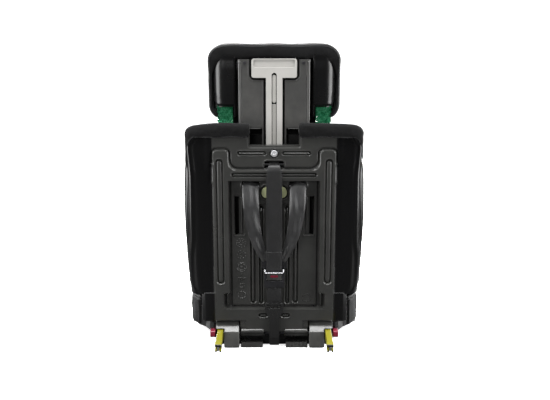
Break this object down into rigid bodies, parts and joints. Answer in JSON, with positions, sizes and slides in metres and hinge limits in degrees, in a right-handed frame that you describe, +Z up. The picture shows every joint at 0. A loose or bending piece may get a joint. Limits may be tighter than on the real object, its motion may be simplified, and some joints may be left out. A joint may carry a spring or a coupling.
{
  "type": "convertible car seat",
  "caption": "Harnessed child car seat: booster base, hinged high backrest, height-adjustable headrest, sliding anchor connectors and a top tether.",
  "frame": {"origin": "on the resting plane, under the middle of the base", "axes": "+Z up, the child faces -Y, +Y is the rear with the anchor connectors, +X is the child's left"},
  "size_m": [0.4802, 0.5334, 0.7936],
  "materials": {
    "shell_black": "moulded shell with a soft gloss",
    "panel_charcoal": "fine spark-eroded grain",
    "cover_fabric": "closely woven cover",
    "webbing": "flat polyester webbing",
    "handle_grey": "satin",
    "rod_grey": "satin",
    "core_green": "translucent honeycomb",
    "connector_yellow": "satin",
    "connector_black": "satin",
    "button_red": "polished",
    "insert_lime": "satin",
    "housing_grey": "fine grain",
    "steel": "bright",
    "hook_black": "black coating"
  },
  "bodies": {
    "base": {"base_shell": "shell_black", "seat_pad": "cover_fabric", "side_covers": "cover_fabric", "lap_belt_guides": "button_red", "connector_housings": "housing_grey", "recline_axle": "steel", "crotch_strap": "webbing", "crotch_pad": "cover_fabric", "buckle_body": "panel_charcoal", "buckle_tongues": "steel", "lap_straps": "webbing", "adjuster_body": "panel_charcoal", "adjuster_tail": "webbing"},
    "buckle_press": {"buckle_button": "button_red"},
    "adjuster_press": {"adjuster_button": "housing_grey"},
    "connectors": {"connector_arm_left": "connector_yellow", "connector_arm_right": "connector_yellow", "connector_tip_left": "connector_black", "connector_tip_right": "connector_black", "connector_cross_tube": "steel"},
    "claw_left": {"connector_claw_left": "steel"},
    "claw_right": {"connector_claw_right": "steel"},
    "release_left": {"connector_button_left": "button_red"},
    "release_right": {"connector_button_right": "button_red"},
    "backrest": {"back_shell": "panel_charcoal", "back_pad": "cover_fabric", "wing_covers": "cover_fabric", "back_upper_lining": "cover_fabric", "shoulder_rolls": "cover_fabric", "tether_bar": "steel", "beam_bolt": "steel", "beam_washer": "hook_black", "harness_anchor_plate": "insert_lime", "height_rack": "panel_charcoal", "harness_rear_straps": "webbing", "harness_yoke": "steel", "adjuster_strap_rear": "webbing", "shoulder_straps": "webbing", "shoulder_pads": "cover_fabric", "tether_strap": "webbing", "tether_adjuster": "hook_black", "tether_release_pin": "steel", "tether_tail": "webbing", "tether_hook": "hook_black"},
    "tether_lever": {"tether_release": "hook_black"},
    "tether_gate": {"hook_gate": "steel"},
    "headrest": {"headrest_shell": "shell_black", "headrest_pad": "cover_fabric", "headrest_rim": "cover_fabric", "impact_cores": "core_green", "carriage_plate": "panel_charcoal", "plate_screws": "steel", "shoulder_belt_guides": "button_red"},
    "height_handle": {"t_handle": "handle_grey", "release_rod": "rod_grey", "lock_slider": "rod_grey"},
    "height_lock": {"lock_pin": "steel"},
    "belt_gate_left": {"belt_guide_gate_left": "button_red"},
    "belt_gate_right": {"belt_guide_gate_right": "button_red"}
  },
  "joints": [
    {"name": "backrest_recline", "type": "hinge", "parent": "base", "child": "backrest", "pos_m": [0, 0.186, 0.036], "axis": [-1, 0, 0], "range_deg": [0, 18]},
    {"name": "headrest_slide", "type": "slide", "parent": "backrest", "child": "headrest", "axis": [0, 0.1392, 0.9903], "range_m": [-0.14, 0]},
    {"name": "height_handle_lift", "type": "slide", "parent": "headrest", "child": "height_handle", "axis": [0, 0.1392, 0.9903], "range_m": [0, 0.01]},
    {"name": "height_lock_slide", "type": "slide", "parent": "headrest", "child": "height_lock", "axis": [0, 0.9903, -0.1392], "range_m": [0, 0.004]},
    {"name": "belt_gate_left_hinge", "type": "hinge", "parent": "headrest", "child": "belt_gate_left", "pos_m": [0.143, 0.1376, 0.60699], "axis": [0, 0.1392, 0.9903], "range_deg": [0, 30]},
    {"name": "belt_gate_right_hinge", "type": "hinge", "parent": "headrest", "child": "belt_gate_right", "pos_m": [-0.143, 0.1376, 0.60699], "axis": [0, -0.1392, -0.9903], "range_deg": [0, 30]},
    {"name": "tether_lever_hinge", "type": "hinge", "parent": "backrest", "child": "tether_lever", "pos_m": [0, 0.22882, 0.1855], "axis": [-1, 0, 0], "range_deg": [0, 15]},
    {"name": "tether_gate_hinge", "type": "hinge", "parent": "backrest", "child": "tether_gate", "pos_m": [0, 0.19886, 0.07004], "axis": [1, 0, 0], "range_deg": [0, 8]},
    {"name": "connector_slide", "type": "slide", "parent": "base", "child": "connectors", "axis": [0, 0.9848, -0.1736], "range_m": [-0.055, 0]},
    {"name": "release_left_press", "type": "slide", "parent": "base", "child": "release_left", "axis": [-1, 0, 0], "range_m": [0, 0.004]},
    {"name": "release_right_press", "type": "slide", "parent": "base", "child": "release_right", "axis": [1, 0, 0], "range_m": [0, 0.004]},
    {"name": "claw_left_hinge", "type": "hinge", "parent": "connectors", "child": "claw_left", "pos_m": [0.14, 0.27592, 0.01904], "axis": [-1, 0, 0], "range_deg": [0, 30]},
    {"name": "claw_right_hinge", "type": "hinge", "parent": "connectors", "child": "claw_right", "pos_m": [-0.14, 0.27592, 0.01904], "axis": [-1, 0, 0], "range_deg": [0, 30]},
    {"name": "buckle_button_press", "type": "slide", "parent": "base", "child": "buckle_press", "axis": [0, 0.9135, -0.4067], "range_m": [0, 0.0035]},
    {"name": "adjuster_button_press", "type": "slide", "parent": "base", "child": "adjuster_press", "axis": [0, 0, -1], "range_m": [0, 0.004]}
  ],
  "couplings": [
    {"joint": "height_lock_slide", "follows": "height_handle_lift", "ratio": 0.4},
    {"joint": "claw_left_hinge", "follows": "release_left_press", "rad_per_m": 130},
    {"joint": "claw_right_hinge", "follows": "release_right_press", "rad_per_m": 130}
  ]
}
